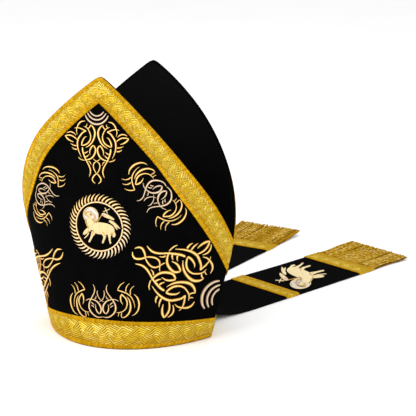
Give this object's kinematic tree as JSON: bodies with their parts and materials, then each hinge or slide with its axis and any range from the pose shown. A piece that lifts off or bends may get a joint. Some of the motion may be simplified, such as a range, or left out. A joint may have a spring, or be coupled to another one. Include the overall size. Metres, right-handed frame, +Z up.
{
  "type": "bishop mitre",
  "caption": "Tall pointed black velvet mitre with gold braid edges, an open head hollow, and fringed lappets laid on the surface behind it.",
  "frame": {"origin": "centre of the head opening, on the plane of the rim and the table", "axes": "+Z up to the points of the horns, -Y towards the front of the mitre, +X to its right-hand seam as seen from the front"},
  "size_m": [0.3786, 0.6052, 0.322],
  "materials": {
    "velvet_black": "matte",
    "lining_black": "matte",
    "braid_gold": "satin",
    "fringe_gold": "satin"
  },
  "bodies": {
    "root": {"front_panel": "velvet_black", "back_panel": "velvet_black", "front_lining": "lining_black", "back_lining": "lining_black", "crown_gusset": "lining_black", "front_edge_braid": "braid_gold", "back_edge_braid": "braid_gold", "front_base_braid": "braid_gold", "back_base_braid": "braid_gold", "right_lappet": "velvet_black", "right_lappet_upper_braid": "braid_gold", "right_lappet_lower_braid": "braid_gold", "right_lappet_fringe": "fringe_gold", "left_lappet": "velvet_black", "left_lappet_upper_braid": "braid_gold", "left_lappet_lower_braid": "braid_gold", "left_lappet_fringe": "fringe_gold"}
  },
  "joints": []
}
